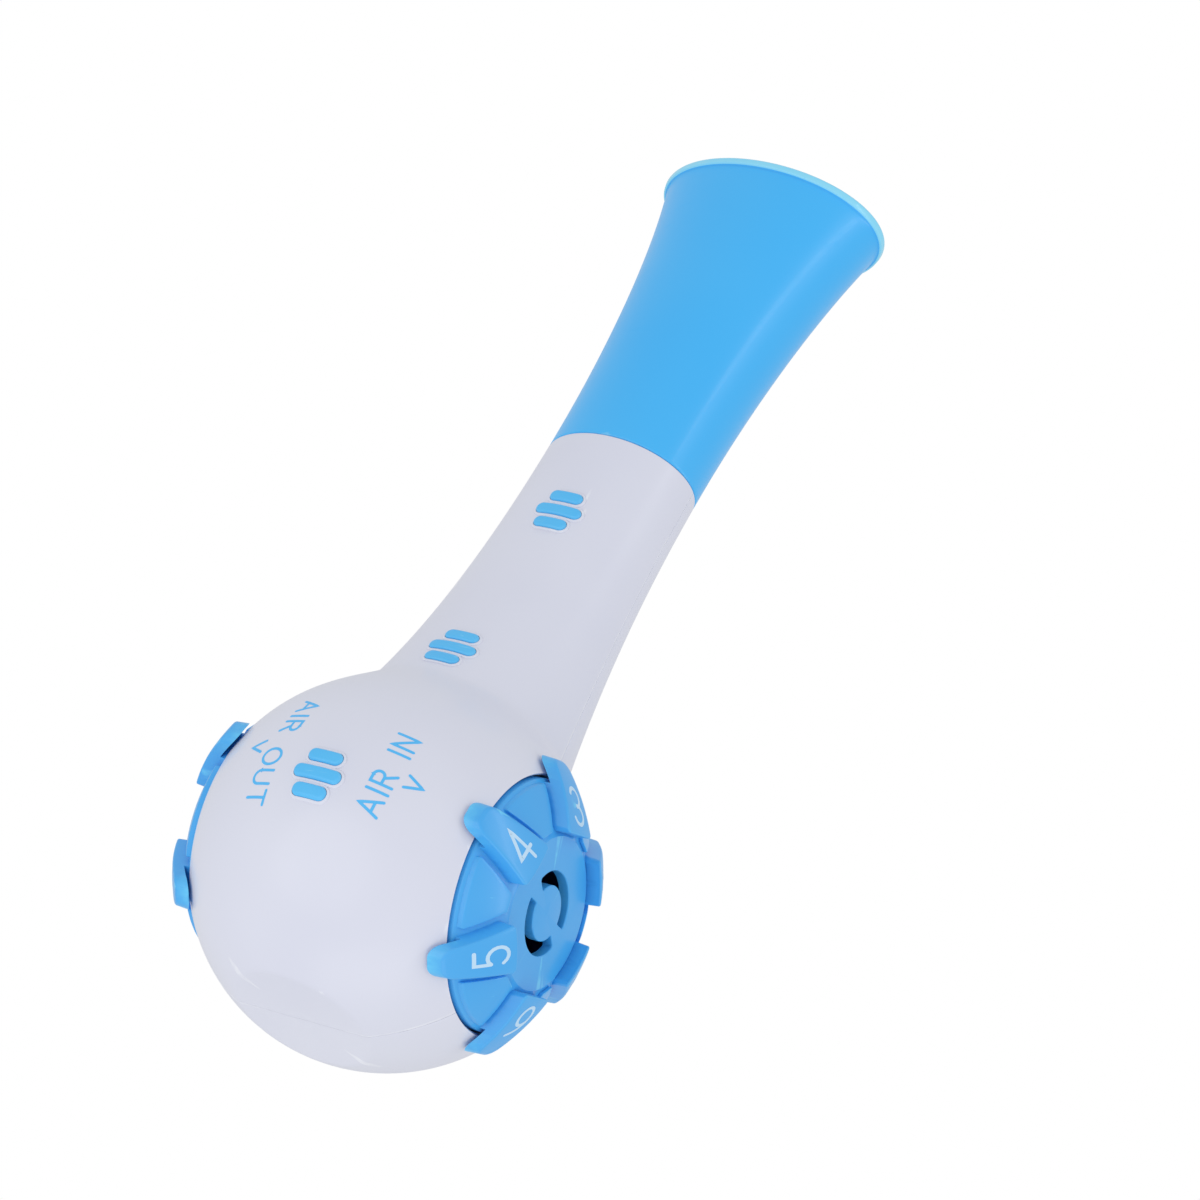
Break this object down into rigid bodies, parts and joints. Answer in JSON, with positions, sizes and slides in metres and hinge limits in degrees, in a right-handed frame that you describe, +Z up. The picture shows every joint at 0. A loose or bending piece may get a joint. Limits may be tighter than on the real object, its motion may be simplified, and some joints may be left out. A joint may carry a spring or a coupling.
{
  "type": "breathing trainer",
  "caption": "Handheld breathing muscle trainer: hollow ball with a numbered load dial and one-way valve on each side, an oval stem and a flared pull-off mouthpiece.",
  "frame": {"origin": "middle of the flat base that the ball stands on", "axes": "+Z up the stem towards the mouthpiece, +X out of the inhale dial, -Y the front with the grip pads"},
  "size_m": [0.057, 0.0577, 0.1621],
  "materials": {
    "white_shell": "smooth glossy moulded plastic, with the words over the dials printed in blue",
    "blue_mouthpiece": "satin moulded plastic",
    "blue_dial": "satin moulded plastic with white printed numbers",
    "blue_pad": "soft satin inlay",
    "white_inner": "plain moulded",
    "silicone": "matt silicone",
    "spring_steel": "bright spring wire and strip"
  },
  "bodies": {
    "casing": {"front_shell": "white_shell", "rear_shell": "white_shell", "neck_adapter": "white_inner", "mouthpiece_seal": "silicone", "grip_pad_upper_1": "blue_pad", "grip_pad_upper_2": "blue_pad", "grip_pad_upper_3": "blue_pad", "grip_pad_middle_1": "blue_pad", "grip_pad_middle_2": "blue_pad", "grip_pad_middle_3": "blue_pad", "grip_pad_lower_1": "blue_pad", "grip_pad_lower_2": "blue_pad", "grip_pad_lower_3": "blue_pad", "inhale_port_plate": "white_inner", "inhale_port_seal": "silicone", "inhale_detent_leaf": "spring_steel", "inhale_valve_cup": "white_inner", "inhale_valve_spring": "spring_steel", "exhale_port_plate": "white_inner", "exhale_port_seal": "silicone", "exhale_detent_leaf": "spring_steel", "exhale_valve_cup": "white_inner", "exhale_valve_spring": "spring_steel"},
    "mouthpiece": {"mouthpiece": "blue_mouthpiece"},
    "inhale_dial": {"inhale_dial": "blue_dial", "inhale_orifice_disc": "blue_dial"},
    "exhale_dial": {"exhale_dial": "blue_dial", "exhale_orifice_disc": "blue_dial"},
    "inhale_valve": {"inhale_valve_poppet": "white_inner", "inhale_valve_gasket": "silicone", "inhale_valve_retainer": "white_inner"},
    "exhale_valve": {"exhale_valve_poppet": "blue_dial", "exhale_valve_gasket": "silicone"}
  },
  "joints": [
    {"name": "mouthpiece_pull", "type": "slide", "parent": "casing", "child": "mouthpiece", "axis": [0, 0, 1], "range_m": [0, 0.02]},
    {"name": "inhale_dial_turn", "type": "hinge", "parent": "casing", "child": "inhale_dial", "pos_m": [0.02, 0, 0.0264], "axis": [1, 0, 0], "continuous": true},
    {"name": "exhale_dial_turn", "type": "hinge", "parent": "casing", "child": "exhale_dial", "pos_m": [-0.02, 0, 0.0264], "axis": [-1, 0, 0], "continuous": true},
    {"name": "inhale_valve_lift", "type": "slide", "parent": "casing", "child": "inhale_valve", "axis": [-1, 0, 0], "range_m": [0, 0.0012], "stiffness_N_per_m": 60, "deforming": ["inhale_valve_spring"]},
    {"name": "exhale_valve_lift", "type": "slide", "parent": "casing", "child": "exhale_valve", "axis": [-1, 0, 0], "range_m": [0, 0.0012], "stiffness_N_per_m": 60, "deforming": ["exhale_valve_spring"]}
  ]
}
